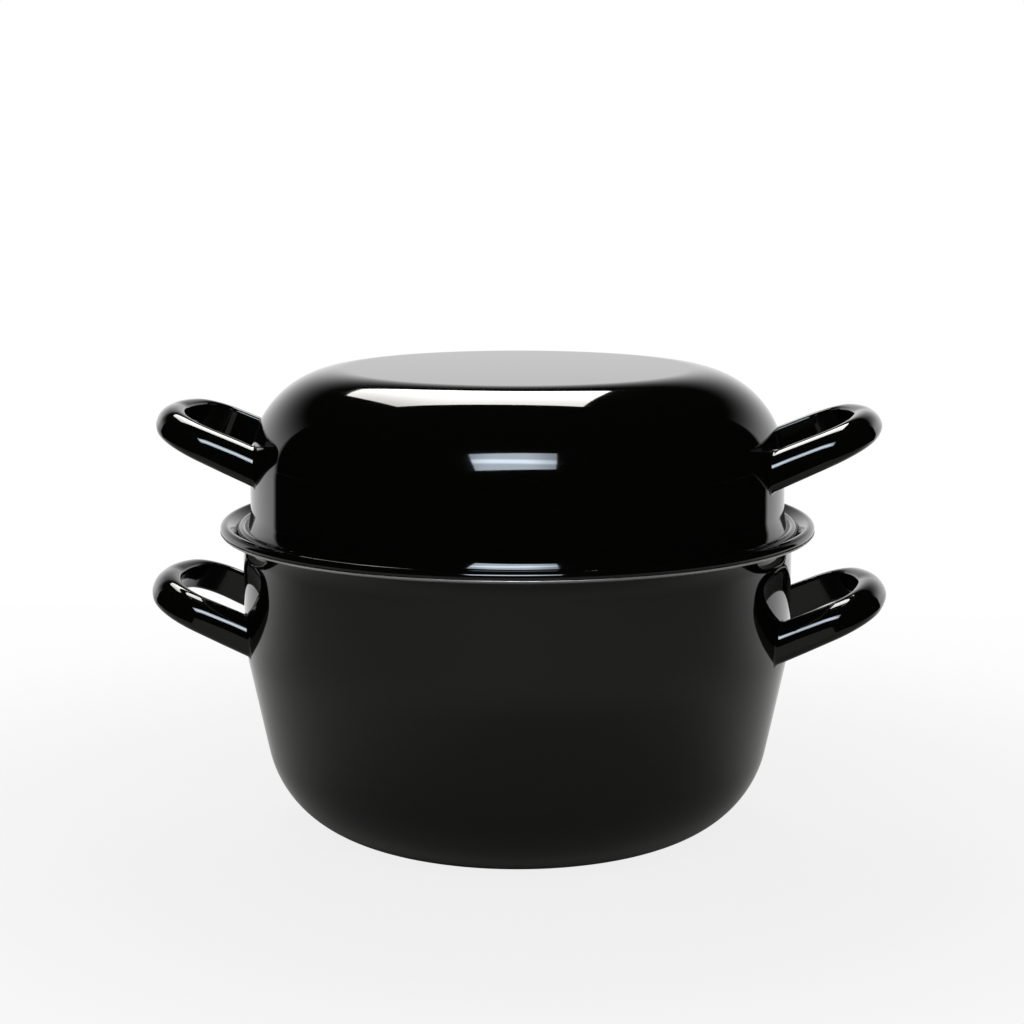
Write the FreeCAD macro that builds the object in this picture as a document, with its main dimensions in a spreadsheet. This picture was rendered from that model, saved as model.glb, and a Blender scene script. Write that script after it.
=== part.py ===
"""Mussel pot: a deep enamelled steel pot and its bowl-shaped lid, each with two hollow loop handles.

Millimetres, +Z up. The origin is the middle of the base, on the surface that the pot stands on, and
the handles point along -X and +X. The pot and the lid are pressed from one gauge of sheet. Each ends
in a flare with a rolled bead. The bead of the lid rests on the inside of the pot's flare, so the lid
centres itself and lifts straight off, and turned over it serves as the bowl for the empty shells.
"""
import FreeCAD, Part
import math
import os
import Sketcher

os.makedirs("parts", exist_ok=True)
doc = FreeCAD.newDocument("mussel_pot")
V = FreeCAD.Vector

# Driving sizes
SIZES = {
    "neck_bore": 240.0,           # inner diameter of the straight neck, the nominal size of the pot
    "sheet_gauge": 1.2,           # steel and enamel together, pot and lid
    "neck_height": 125.6,         # where the neck ends and the flare starts, above the table
    "waist_height": 92.3,         # where the straight neck starts, above the table
    "belly_blend": 75.0,          # radius between the neck and the tapering wall
    "wall_taper": 12.0,           # lean of the lower wall from the vertical, degrees
    "base_corner": 47.0,          # outer radius between the wall and the flat base
    "flare_radius": 14.2,         # outer radius of the pot's flare
    "flare_turn": 59.0,           # angle through which the flare turns outwards, degrees
    "roll_radius": 2.35,          # outer radius of the pot's rolled bead
    "roll_end": 51.0,             # how far below the level the roll ends, facing the wall, degrees
    "trim_gauge": 0.4,            # thickness of the bright trim under the roll
    "trim_clearance": 0.1,        # between the roll and the trim
    "trim_start": 32.0,           # where the trim starts, below the level on the outside, degrees
    "lid_wall_inset": 3.5,        # how far the lid's wall stands inside the pot's neck wall
    "lid_height": 71.8,           # from the bottom of the lid's bead to the flat top
    "crown_radius": 42.0,         # outer radius between the lid's wall and its flat top
    "lid_flare_radius": 14.0,     # outer radius of the lid's flare
    "lid_flare_turn": 40.1,       # angle through which the lid's flare turns outwards, degrees
    "lid_roll_radius": 2.0,       # outer radius of the lid's rolled bead
    "lid_roll_end": 38.0,         # how far above the level the lid's roll ends, facing the wall, degrees
    "seat_clearance": 0.05,       # between the lid's bead and the pot's flare
    "handle_half_span": 37.2,     # from the middle of the loop to the middle line of one leg
    "handle_reach": 40.0,         # from the wall to the middle line of the bar, along the loop
    "handle_root": 18.0,          # how far the legs run inwards of the wall before they are trimmed
    "bar_bow": 72.0,              # radius of the slightly bowed bar
    "loop_corner": 20.0,          # radius between the bar and a leg
    "handle_tilt": 24.5,          # rise of the loop outwards, degrees
    "handle_gauge": 1.2,          # wall of the hollow handle
    "section_inside": 4.0,        # from the middle line to the flat face round the finger hole
    "section_outside": 6.0,       # from the middle line to the rounded outer face
    "bar_above": 9.2,             # top of the bar above the loop's plane
    "bar_below": 2.5,             # underside of the bar below the loop's plane
    "leg_above": 13.0,            # top of a leg above the loop's plane, where the leg starts
    "leg_below": 3.4,             # underside of a leg below the loop's plane, where the leg starts
    "crown_round": 7.8,           # outer upper rounding of the section
    "belly_round": 3.5,           # outer lower rounding of the section
    "edge_round": 1.5,            # rounding of the two edges round the finger hole
    "pot_handle_height": 89.5,    # height of the loop's plane at the pot's wall, above the table
    "lid_handle_height": 29.7,    # height of the loop's plane at the lid's wall, above the lid's bead
}

sheet = doc.addObject("Spreadsheet::Sheet", "sizes")
for row, (alias, number) in enumerate(SIZES.items(), start=1):
    sheet.set("A%d" % row, alias)
    sheet.set("B%d" % row, str(number))
    sheet.setAlias("B%d" % row, alias)
doc.recompute()


def size(alias):
    """The number that the sheet holds under this alias."""
    return float(getattr(sheet, alias))


def sind(degrees):
    return math.sin(math.radians(degrees))


def cosd(degrees):
    return math.cos(math.radians(degrees))


# Expressions that several pieces share
NECK_RADIUS = "(sizes.neck_bore / 2 + sizes.sheet_gauge)"
LID_RADIUS = "(%s - sizes.lid_wall_inset)" % NECK_RADIUS
LID_ROLL_ARM = "(sizes.lid_flare_radius + sizes.sheet_gauge - sizes.lid_roll_radius)"
LID_FLARE_START = "(sizes.lid_roll_radius + %s * sin(sizes.lid_flare_turn))" % LID_ROLL_ARM
LID_BEAD_RADIUS = "(%s + sizes.lid_flare_radius - %s * cos(sizes.lid_flare_turn))" % (LID_RADIUS, LID_ROLL_ARM)
SEAT_REACH = "(sizes.flare_radius + sizes.sheet_gauge + sizes.lid_roll_radius + sizes.seat_clearance)"
SEAT_RUN = "(%s + sizes.flare_radius - %s)" % (NECK_RADIUS, LID_BEAD_RADIUS)
LID_LIFT = "sizes.neck_height + sqrt(%s ^ 2 - %s ^ 2) - sizes.lid_roll_radius" % (SEAT_REACH, SEAT_RUN)


def plane_of(body, role):
    """The origin plane or axis of a body, by its role."""
    return next(item for item in body.Origin.OriginFeatures if item.Role == role)


def new_body(label):
    body = doc.addObject("PartDesign::Body", label)
    body.Label = label
    return body


def new_sketch(body, name, role):
    sketch = body.newObject("Sketcher::SketchObject", name)
    sketch.AttachmentSupport = [(plane_of(body, role), "")]
    sketch.MapMode = "FlatFace"
    return sketch


def add_line(sketch, start, end, construction=False):
    return sketch.addGeometry(Part.LineSegment(V(*start, 0), V(*end, 0)), construction)


def add_arc(sketch, centre, radius, first, last):
    """An arc that runs anticlockwise from the first to the last angle, in degrees."""
    circle = Part.Circle(V(*centre, 0), V(0, 0, 1), radius)
    return sketch.addGeometry(Part.ArcOfCircle(circle, math.radians(first), math.radians(last)), False)


def rule(sketch, kind, *items):
    return sketch.addConstraint(Sketcher.Constraint(kind, *items))


def dimension(sketch, name, expression, kind, *items):
    """A named dimension of the sketch, bound to sizes of the sheet."""
    index = rule(sketch, kind, *items)
    sketch.renameConstraint(index, name)
    sketch.setExpression("Constraints." + name, expression)


# The sketcher's own numbers for the points of a line or arc, and for the origin
START, END, CENTRE = range(1, 4)
ORIGIN = (-1, 1)


def revolve(body, name, sketch, angle=360.0):
    feature = body.newObject("PartDesign::Revolution", name)
    feature.Profile = sketch
    feature.ReferenceAxis = (sketch, ["V_Axis"])
    feature.Angle = angle
    sketch.Visibility = False
    return feature


def bowl_outline(sketch):
    """The pot's outer line, from the axis along the base and up the wall to the top of the neck."""
    neck = size("neck_bore") / 2 + size("sheet_gauge")
    corner = size("base_corner")
    blend = size("belly_blend")
    taper = size("wall_taper")
    waist = size("waist_height")
    upper = (neck - blend + blend * cosd(taper), waist - blend * sind(taper))
    lower_height = corner - corner * sind(taper)
    lower = (upper[0] - (upper[1] - lower_height) * math.tan(math.radians(taper)), lower_height)
    flat = lower[0] - corner * cosd(taper)
    base = add_line(sketch, (0, 0), (flat, 0))
    round_base = add_arc(sketch, (flat, corner), corner, -90, -taper)
    slope = add_line(sketch, lower, upper)
    belly = add_arc(sketch, (neck - blend, waist), blend, -taper, 0)
    wall = add_line(sketch, (neck, waist), (neck, size("neck_height")))
    rule(sketch, "Coincident", base, START, *ORIGIN)
    rule(sketch, "Horizontal", base)
    rule(sketch, "Tangent", base, END, round_base, START)
    rule(sketch, "Tangent", round_base, END, slope, START)
    rule(sketch, "Tangent", slope, END, belly, START)
    rule(sketch, "Tangent", belly, END, wall, START)
    rule(sketch, "Vertical", wall)
    dimension(sketch, "neck", NECK_RADIUS, "DistanceX", *ORIGIN, wall, END, neck)
    dimension(sketch, "corner", "sizes.base_corner", "Radius", round_base, corner)
    dimension(sketch, "blend", "sizes.belly_blend", "Radius", belly, blend)
    dimension(sketch, "waist", "sizes.waist_height", "DistanceY", *ORIGIN, belly, CENTRE, waist)
    dimension(sketch, "top", "sizes.neck_height", "DistanceY", *ORIGIN, wall, END, size("neck_height"))
    dimension(sketch, "taper", "90 - sizes.wall_taper", "Angle", slope, math.radians(90 - taper))
    return base, round_base, belly, wall, flat, lower, upper


def dome_outline(sketch):
    """The lid's outer line, from the axis along the flat top and down the wall to its flare."""
    wall_radius = size("neck_bore") / 2 + size("sheet_gauge") - size("lid_wall_inset")
    crown = size("crown_radius")
    height = size("lid_height")
    arm = size("lid_flare_radius") + size("sheet_gauge") - size("lid_roll_radius")
    foot = size("lid_roll_radius") + arm * sind(size("lid_flare_turn"))
    flat = wall_radius - crown
    top = add_line(sketch, (0, height), (flat, height))
    shoulder = add_arc(sketch, (flat, height - crown), crown, 0, 90)
    wall = add_line(sketch, (wall_radius, height - crown), (wall_radius, foot))
    rule(sketch, "PointOnObject", top, START, -2)
    rule(sketch, "Horizontal", top)
    rule(sketch, "Tangent", top, END, shoulder, END)
    rule(sketch, "Tangent", shoulder, START, wall, START)
    rule(sketch, "Vertical", wall)
    dimension(sketch, "wall", LID_RADIUS, "DistanceX", *ORIGIN, wall, END, wall_radius)
    dimension(sketch, "crown", "sizes.crown_radius", "Radius", shoulder, crown)
    dimension(sketch, "height", "sizes.lid_height", "DistanceY", *ORIGIN, top, START, height)
    dimension(sketch, "foot", LID_FLARE_START, "DistanceY", *ORIGIN, wall, END, foot)
    return top, shoulder, wall, flat, foot, wall_radius


def rolled_rim(sketch, radius, level, flare, turn, roll, roll_end, up, names):
    """The flare and the rolled bead as one strip of sheet. up is 1 on the pot and -1 on the lid."""
    gauge = size("sheet_gauge")
    hub = (radius + flare, level)
    arm = flare + gauge - roll
    bead = (hub[0] - arm * cosd(turn), hub[1] + up * arm * sind(turn))
    seam = 180 - up * turn
    stop = up * (roll_end - 180)
    flare_span = sorted((seam, 180))
    roll_span = (stop, seam) if up > 0 else (seam - 360, stop)
    far, near = (START, END) if up > 0 else (END, START)
    under = add_arc(sketch, hub, flare, *flare_span)
    over = add_arc(sketch, hub, flare + gauge, *flare_span)
    outer = add_arc(sketch, bead, roll, *roll_span)
    inner = add_arc(sketch, bead, roll - gauge, *roll_span)
    foot = add_line(sketch, (radius - gauge, level), (radius, level))
    lip = add_line(sketch, (bead[0] + (roll - gauge) * cosd(stop), bead[1] + (roll - gauge) * sind(stop)),
                   (bead[0] + roll * cosd(stop), bead[1] + roll * sind(stop)))
    rule(sketch, "Coincident", foot, START, over, near)
    rule(sketch, "Coincident", foot, END, under, near)
    rule(sketch, "Horizontal", foot)
    rule(sketch, "Coincident", under, CENTRE, over, CENTRE)
    rule(sketch, "Tangent", over, far, outer, near)
    rule(sketch, "Tangent", under, far, inner, near)
    rule(sketch, "Coincident", inner, CENTRE, outer, CENTRE)
    rule(sketch, "Coincident", lip, START, inner, far)
    rule(sketch, "Coincident", lip, END, outer, far)
    spoke = add_line(sketch, bead, (bead[0] + roll * cosd(stop), bead[1] + roll * sind(stop)), True)
    rule(sketch, "Coincident", spoke, START, outer, CENTRE)
    rule(sketch, "Coincident", spoke, END, outer, far)
    rule(sketch, "PointOnObject", inner, far, spoke)
    dimension(sketch, "flare", names["flare"], "Radius", under, flare)
    dimension(sketch, "flare_over", names["flare"] + " + sizes.sheet_gauge", "Radius", over, flare + gauge)
    dimension(sketch, "roll", names["roll"], "Radius", outer, roll)
    dimension(sketch, "reach", names["radius"], "DistanceX", *ORIGIN, foot, END, radius)
    return foot, under, over, outer, inner, spoke, seam, stop, hub, bead


# Pot: the drawn bowl, then its flare and rolled bead
pot = new_body("pot_body")
bowl_sketch = new_sketch(pot, "bowl_profile", "XZ_Plane")
base, round_base, belly, wall, flat, lower, upper = bowl_outline(bowl_sketch)
gauge = size("sheet_gauge")
neck = size("neck_bore") / 2 + gauge
top = size("neck_height")
waist = size("waist_height")
taper = size("wall_taper")
shift = (gauge * cosd(taper), gauge * sind(taper))
brim = add_line(bowl_sketch, (neck, top), (neck - gauge, top))
in_wall = add_line(bowl_sketch, (neck - gauge, top), (neck - gauge, waist))
in_belly = add_arc(bowl_sketch, (neck - size("belly_blend"), waist), size("belly_blend") - gauge, -taper, 0)
in_slope = add_line(bowl_sketch, (upper[0] - shift[0], upper[1] + shift[1]),
                    (lower[0] - shift[0], lower[1] + shift[1]))
in_round = add_arc(bowl_sketch, (flat, size("base_corner")), size("base_corner") - gauge, -90, -taper)
in_base = add_line(bowl_sketch, (flat, gauge), (0, gauge))
axis = add_line(bowl_sketch, (0, gauge), (0, 0))
rule(bowl_sketch, "Coincident", wall, END, brim, START)
rule(bowl_sketch, "Horizontal", brim)
rule(bowl_sketch, "Coincident", brim, END, in_wall, START)
rule(bowl_sketch, "Vertical", in_wall)
rule(bowl_sketch, "Tangent", in_wall, END, in_belly, END)
rule(bowl_sketch, "Coincident", in_belly, CENTRE, belly, CENTRE)
rule(bowl_sketch, "Tangent", in_belly, START, in_slope, START)
rule(bowl_sketch, "Tangent", in_slope, END, in_round, END)
rule(bowl_sketch, "Coincident", in_round, CENTRE, round_base, CENTRE)
rule(bowl_sketch, "Tangent", in_round, START, in_base, START)
rule(bowl_sketch, "Horizontal", in_base)
rule(bowl_sketch, "Coincident", in_base, END, axis, START)
rule(bowl_sketch, "Coincident", axis, END, base, START)
rule(bowl_sketch, "Vertical", axis)
dimension(bowl_sketch, "in_blend", "sizes.belly_blend - sizes.sheet_gauge", "Radius", in_belly,
          size("belly_blend") - gauge)
dimension(bowl_sketch, "in_corner", "sizes.base_corner - sizes.sheet_gauge", "Radius", in_round,
          size("base_corner") - gauge)
revolve(pot, "drawn_bowl", bowl_sketch)

rim_sketch = new_sketch(pot, "pot_rim_profile", "XZ_Plane")
foot, under, over, outer, inner, spoke, seam, stop, hub, bead = rolled_rim(
    rim_sketch, neck, top, size("flare_radius"), size("flare_turn"), size("roll_radius"), size("roll_end"), 1,
    {"flare": "sizes.flare_radius", "roll": "sizes.roll_radius", "radius": NECK_RADIUS})
dimension(rim_sketch, "level", "sizes.neck_height", "DistanceY", *ORIGIN, foot, END, top)
dimension(rim_sketch, "hub_level", "sizes.neck_height", "DistanceY", *ORIGIN, under, CENTRE, top)
throw = add_line(rim_sketch, hub, (hub[0] + (size("flare_radius") + gauge) * cosd(seam),
                                   hub[1] + (size("flare_radius") + gauge) * sind(seam)), True)
rule(rim_sketch, "Coincident", throw, START, over, CENTRE)
rule(rim_sketch, "Coincident", throw, END, over, START)
dimension(rim_sketch, "turn", "180 - sizes.flare_turn", "Angle", throw, math.radians(seam))
dimension(rim_sketch, "roll_stop", "sizes.roll_end - 180", "Angle", spoke, math.radians(stop))
revolve(pot, "rolled_rim", rim_sketch)

# Bright trim: a steel strip folded in flats under the outer lower quarter of the pot's roll, in four
# equal lengths, butted
TRIM_LENGTHS = 4
TRIM_FLATS = 4
ROLL_ARM = "(sizes.flare_radius + sizes.sheet_gauge - sizes.roll_radius)"
BEAD_REACH = "%s + sizes.flare_radius - %s * cos(sizes.flare_turn)" % (NECK_RADIUS, ROLL_ARM)
BEAD_LEVEL = "sizes.neck_height + %s * sin(sizes.flare_turn)" % ROLL_ARM
TRIM_INSIDE = "(sizes.roll_radius + sizes.trim_clearance)"
TRIM_OUTSIDE = "(sizes.roll_radius + sizes.trim_clearance + sizes.trim_gauge)"
TRIM_STEP = "((180 - sizes.roll_end - sizes.trim_start) / %d)" % TRIM_FLATS
trim = new_body("pot_rim_trim")
trim_sketch = new_sketch(trim, "trim_profile", "XZ_Plane")
trim_inside = size("roll_radius") + size("trim_clearance")
trim_step = (180 - size("roll_end") - size("trim_start")) / TRIM_FLATS
folds = []
for text, number, order in ((TRIM_INSIDE, trim_inside, range(TRIM_FLATS + 1)),
                            (TRIM_OUTSIDE, trim_inside + size("trim_gauge"), range(TRIM_FLATS, -1, -1))):
    for place in order:
        arm = number / cosd(trim_step / 2)
        angle = stop + place * trim_step
        arm_text = "%s / cos(%s / 2)" % (text, TRIM_STEP)
        angle_text = "(sizes.roll_end - 180 + %d * %s)" % (place, TRIM_STEP)
        folds.append((bead[0] + arm * cosd(angle), bead[1] + arm * sind(angle),
                      "%s + %s * cos%s" % (BEAD_REACH, arm_text, angle_text),
                      "%s + %s * sin%s" % (BEAD_LEVEL, arm_text, angle_text)))
strip = [add_line(trim_sketch, fold[:2], folds[(i + 1) % len(folds)][:2]) for i, fold in enumerate(folds)]
for i, (x, z, x_text, z_text) in enumerate(folds):
    rule(trim_sketch, "Coincident", strip[i - 1], END, strip[i], START)
    dimension(trim_sketch, "reach_%d" % i, x_text, "DistanceX", *ORIGIN, strip[i], START, x)
    dimension(trim_sketch, "level_%d" % i, z_text, "DistanceY", *ORIGIN, strip[i], START, z)
trim_length = revolve(trim, "trim_length", trim_sketch, 360.0 / TRIM_LENGTHS)
trim_length.Refine = False
trim_round = trim.newObject("PartDesign::PolarPattern", "crimped_trim")
trim_round.Originals = [trim_length]
trim_round.Axis = (trim_sketch, ["V_Axis"])
trim_round.Angle = 360.0
trim_round.Occurrences = TRIM_LENGTHS
trim_round.Refine = False
trim.Tip = trim_round

# Lid: the drawn dome with its flat top, then its flare and rolled bead; lifted to its seat on the flare
lid = new_body("lid_body")
dome_sketch = new_sketch(lid, "dome_profile", "XZ_Plane")
crown_top, shoulder, lid_wall, lid_flat, lid_foot, lid_radius = dome_outline(dome_sketch)
crown = size("crown_radius")
lid_top = size("lid_height")
hem = add_line(dome_sketch, (lid_radius, lid_foot), (lid_radius - gauge, lid_foot))
in_side = add_line(dome_sketch, (lid_radius - gauge, lid_foot), (lid_radius - gauge, lid_top - crown))
in_shoulder = add_arc(dome_sketch, (lid_flat, lid_top - crown), crown - gauge, 0, 90)
ceiling = add_line(dome_sketch, (lid_flat, lid_top - gauge), (0, lid_top - gauge))
lid_axis = add_line(dome_sketch, (0, lid_top - gauge), (0, lid_top))
rule(dome_sketch, "Coincident", lid_wall, END, hem, START)
rule(dome_sketch, "Horizontal", hem)
rule(dome_sketch, "Coincident", hem, END, in_side, START)
rule(dome_sketch, "Vertical", in_side)
rule(dome_sketch, "Tangent", in_side, END, in_shoulder, START)
rule(dome_sketch, "Coincident", in_shoulder, CENTRE, shoulder, CENTRE)
rule(dome_sketch, "Tangent", in_shoulder, END, ceiling, START)
rule(dome_sketch, "Horizontal", ceiling)
rule(dome_sketch, "Coincident", ceiling, END, lid_axis, START)
rule(dome_sketch, "Coincident", lid_axis, END, crown_top, START)
rule(dome_sketch, "Vertical", lid_axis)
dimension(dome_sketch, "in_crown", "sizes.crown_radius - sizes.sheet_gauge", "Radius", in_shoulder, crown - gauge)
revolve(lid, "drawn_dome", dome_sketch)

lid_rim_sketch = new_sketch(lid, "lid_rim_profile", "XZ_Plane")
foot, under, over, outer, inner, spoke, seam, stop, hub, lid_bead = rolled_rim(
    lid_rim_sketch, lid_radius, lid_foot, size("lid_flare_radius"), size("lid_flare_turn"),
    size("lid_roll_radius"), size("lid_roll_end"), -1,
    {"flare": "sizes.lid_flare_radius", "roll": "sizes.lid_roll_radius", "radius": LID_RADIUS})
dimension(lid_rim_sketch, "level", LID_FLARE_START, "DistanceY", *ORIGIN, foot, END, lid_foot)
dimension(lid_rim_sketch, "hub_level", LID_FLARE_START, "DistanceY", *ORIGIN, under, CENTRE, lid_foot)
throw = add_line(lid_rim_sketch, hub, (hub[0] + (size("lid_flare_radius") + gauge) * cosd(seam),
                                       hub[1] + (size("lid_flare_radius") + gauge) * sind(seam)), True)
rule(lid_rim_sketch, "Coincident", throw, START, over, CENTRE)
rule(lid_rim_sketch, "Coincident", throw, END, over, END)
dimension(lid_rim_sketch, "turn", "sizes.lid_flare_turn - 180", "Angle", throw, math.radians(seam - 360))
dimension(lid_rim_sketch, "roll_stop", "180 - sizes.lid_roll_end", "Angle", spoke, math.radians(stop))
revolve(lid, "lid_rolled_rim", lid_rim_sketch)
lid.setExpression("Placement.Base.z", LID_LIFT)

# Solid shapes of the pot and the lid as seen from outside, which trim the legs of the handles
pot_form = new_body("pot_form")
form_sketch = new_sketch(pot_form, "pot_form_profile", "XZ_Plane")
base, round_base, belly, wall, flat, lower, upper = bowl_outline(form_sketch)
cap = add_line(form_sketch, (neck, top), (0, top))
spine = add_line(form_sketch, (0, top), (0, 0))
rule(form_sketch, "Coincident", wall, END, cap, START)
rule(form_sketch, "Horizontal", cap)
rule(form_sketch, "Coincident", cap, END, spine, START)
rule(form_sketch, "Coincident", spine, END, base, START)
rule(form_sketch, "Vertical", spine)
revolve(pot_form, "filled_pot", form_sketch)

lid_form = new_body("lid_form")
form_sketch = new_sketch(lid_form, "lid_form_profile", "XZ_Plane")
crown_top, shoulder, lid_wall, lid_flat, lid_foot, lid_radius = dome_outline(form_sketch)
cap = add_line(form_sketch, (lid_radius, lid_foot), (0, lid_foot))
spine = add_line(form_sketch, (0, lid_foot), (0, lid_top))
rule(form_sketch, "Coincident", lid_wall, END, cap, START)
rule(form_sketch, "Horizontal", cap)
rule(form_sketch, "Coincident", cap, END, spine, START)
rule(form_sketch, "Coincident", spine, END, crown_top, START)
rule(form_sketch, "Vertical", spine)
revolve(lid_form, "filled_lid", form_sketch)


def section(place, outwards, above, below, skin):
    """One closed section of the loop: flat towards the finger hole, well rounded on the outside.

    Inside the hollow the two edges by the finger hole are sharp, as in the pressed sheet.

    place is the middle line's point, outwards the direction away from the finger hole, above and below
    the height about the loop's plane, and skin how far the section lies inside the handle's surface.
    """
    inside = skin - size("section_inside")
    outside = size("section_outside") - skin
    high = above - skin
    low = skin - below
    crown = size("crown_round") - skin
    belly = size("belly_round") - skin
    edge = size("edge_round")

    def at(across, height):
        return place + outwards * across + V(0, 0, height)

    def quarter(across, height, radius, first):
        points = [at(across + radius * cosd(angle), height + radius * sind(angle))
                  for angle in (first, first - 45, first - 90)]
        return Part.Arc(*points)

    outer_side = [
        quarter(outside - crown, high - crown, crown, 90),
        Part.LineSegment(at(outside, high - crown), at(outside, low + belly)),
        quarter(outside - belly, low + belly, belly, 0),
    ]
    if skin > 0:
        pieces = [
            Part.LineSegment(at(inside, low), at(inside, high)),
            Part.LineSegment(at(inside, high), at(outside - crown, high)),
            *outer_side,
            Part.LineSegment(at(outside - belly, low), at(inside, low)),
        ]
    else:
        pieces = [
            Part.LineSegment(at(inside, low + edge), at(inside, high - edge)),
            quarter(inside + edge, high - edge, edge, 180),
            Part.LineSegment(at(inside + edge, high), at(outside - crown, high)),
            *outer_side,
            Part.LineSegment(at(outside - belly, low), at(inside + edge, low)),
            quarter(inside + edge, low + edge, edge, 270),
        ]
    return Part.Wire([piece.toShape() for piece in pieces])


def half_loop():
    """Half of the loop's middle line: from the middle of the bar round the corner and along one leg."""
    reach = size("handle_reach")
    span = size("handle_half_span")
    bow = size("bar_bow")
    corner = size("loop_corner")
    corner_y = span - corner
    corner_x = reach - bow + math.sqrt((bow - corner) ** 2 - corner_y ** 2)
    meet = math.degrees(math.atan2(corner_y, corner_x - reach + bow))

    def around(x, y, radius, angle):
        return V(x + radius * cosd(angle), y + radius * sind(angle), 0)

    bar = Part.Arc(*[around(reach - bow, 0, bow, angle) for angle in (0, meet / 2, meet)])
    bend = Part.Arc(*[around(corner_x, corner_y, corner, angle) for angle in (meet, (meet + 90) / 2, 90)])
    leg = Part.LineSegment(V(corner_x, span, 0), V(-size("handle_root"), span, 0))
    return Part.Wire([bar.toShape(), bend.toShape(), leg.toShape()])


def swept_loop(skin):
    """The whole loop as a solid, its section growing evenly from the bar to the start of the legs."""
    bar_section = section(V(size("handle_reach"), 0, 0), V(1, 0, 0), size("bar_above"), size("bar_below"), skin)
    leg_section = section(V(-size("handle_root"), size("handle_half_span"), 0), V(0, 1, 0),
                          size("leg_above"), size("leg_below"), skin)
    sweep = Part.BRepOffsetAPI.MakePipeShell(half_loop())
    sweep.setBiNormalMode(V(0, 0, 1))
    sweep.add(bar_section)
    sweep.add(leg_section)
    sweep.build()
    sweep.makeSolid()
    half = sweep.shape()
    return half.fuse(half.mirror(V(0, 0, 0), V(0, 1, 0)))


def loop_handle(label, radius_text, height_text):
    """A hollow loop in its own plane, tilted up outwards on the +X side."""
    loop = doc.addObject("Part::Feature", label)
    loop.Label = label
    loop.Shape = swept_loop(0.0).cut(swept_loop(size("handle_gauge")))
    loop.Placement = FreeCAD.Placement(V(0, 0, 0), FreeCAD.Rotation(V(0, -1, 0), size("handle_tilt")))
    loop.setExpression("Placement.Rotation.Angle", "sizes.handle_tilt")
    loop.setExpression("Placement.Base.x", radius_text)
    loop.setExpression("Placement.Base.z", height_text)
    doc.recompute()
    return loop


def handle_pair(owner, loop, form):
    """The loop trimmed to the owner's outer wall on the +X side, and its mirror image on the -X side."""
    right = doc.addObject("Part::Cut", owner + "_handle_right")
    right.Base = loop
    right.Tool = form
    right.Label = owner + "_handle_right"
    left = doc.addObject("Part::Mirroring", owner + "_handle_left")
    left.Source = right
    left.Normal = V(1, 0, 0)
    left.Label = owner + "_handle_left"
    return right, left


pot_loop = loop_handle("pot_loop", NECK_RADIUS, "sizes.pot_handle_height")
pot_handles = handle_pair("pot", pot_loop, pot_form)
lid_loop = loop_handle("lid_loop", LID_RADIUS, "sizes.lid_handle_height")
lid_handles = handle_pair("lid", lid_loop, lid_form)
lid_handles[0].setExpression("Placement.Base.z", LID_LIFT)
doc.recompute()

sub_parts = [pot, trim, *pot_handles, lid, *lid_handles]
for item in doc.Objects:
    if "Invalid" in item.State or "Error" in item.State:
        raise RuntimeError("%s could not be computed: %s" % (item.Label, item.State))
for item in sub_parts:
    if item.Shape.isNull() or not item.Shape.isValid() or len(item.Shape.Solids) != 1:
        raise RuntimeError("%s is not one valid solid" % item.Label)
for item in sub_parts:
    item.Shape.exportStep("parts/%s.step" % item.Label)
    box = item.Shape.optimalBoundingBox()
    print("%-18s %10.0f mm3  x %7.1f %7.1f  y %7.1f %7.1f  z %7.1f %7.1f" % (
        item.Label, item.Shape.Volume, box.XMin, box.XMax, box.YMin, box.YMax, box.ZMin, box.ZMax))
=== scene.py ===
"""Mussel pot in black vitreous enamel on pressed steel, dressed for its studio picture.

The pot, its rim trim and the lid are spun from their half sections, and the four loop handles are
swept round their loop, trimmed to the wall and mirrored. Sizes are in millimetres, turned to metres
by MM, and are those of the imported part.
"""
import logging
import math
from dataclasses import dataclass
from enum import Enum
from typing import Any

import bmesh
import bpy
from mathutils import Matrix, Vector


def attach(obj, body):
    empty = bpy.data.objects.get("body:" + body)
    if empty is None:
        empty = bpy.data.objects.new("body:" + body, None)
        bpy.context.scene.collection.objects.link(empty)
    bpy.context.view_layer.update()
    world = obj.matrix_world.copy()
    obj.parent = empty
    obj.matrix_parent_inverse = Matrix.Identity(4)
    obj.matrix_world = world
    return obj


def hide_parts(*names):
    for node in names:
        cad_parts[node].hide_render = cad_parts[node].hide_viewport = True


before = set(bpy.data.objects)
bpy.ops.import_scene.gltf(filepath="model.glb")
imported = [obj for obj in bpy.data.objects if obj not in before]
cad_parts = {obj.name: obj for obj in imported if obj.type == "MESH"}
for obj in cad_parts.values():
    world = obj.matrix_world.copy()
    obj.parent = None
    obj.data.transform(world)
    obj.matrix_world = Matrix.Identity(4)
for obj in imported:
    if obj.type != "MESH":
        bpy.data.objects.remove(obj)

LOG = logging.getLogger("mussel_pot")
MM = 0.001
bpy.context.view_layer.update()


class Side(Enum):
    """Which end of the pot a handle is on, as the sign of its X."""

    RIGHT = 1
    LEFT = -1


# Small tools


def srgb(code: str) -> tuple[float, float, float, float]:
    """Turns a hex colour as it looks on a screen into the linear colour that a shader takes.

    Args:
        code: the colour, such as "#0b0b0a".

    Returns:
        Linear red, green, blue and an opaque alpha.
    """
    parts = [int(code[i:i + 2], 16) / 255 for i in (1, 3, 5)]
    red, green, blue = (c / 12.92 if c <= 0.04045 else ((c + 0.055) / 1.055) ** 2.4 for c in parts)
    return red, green, blue, 1.0


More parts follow.
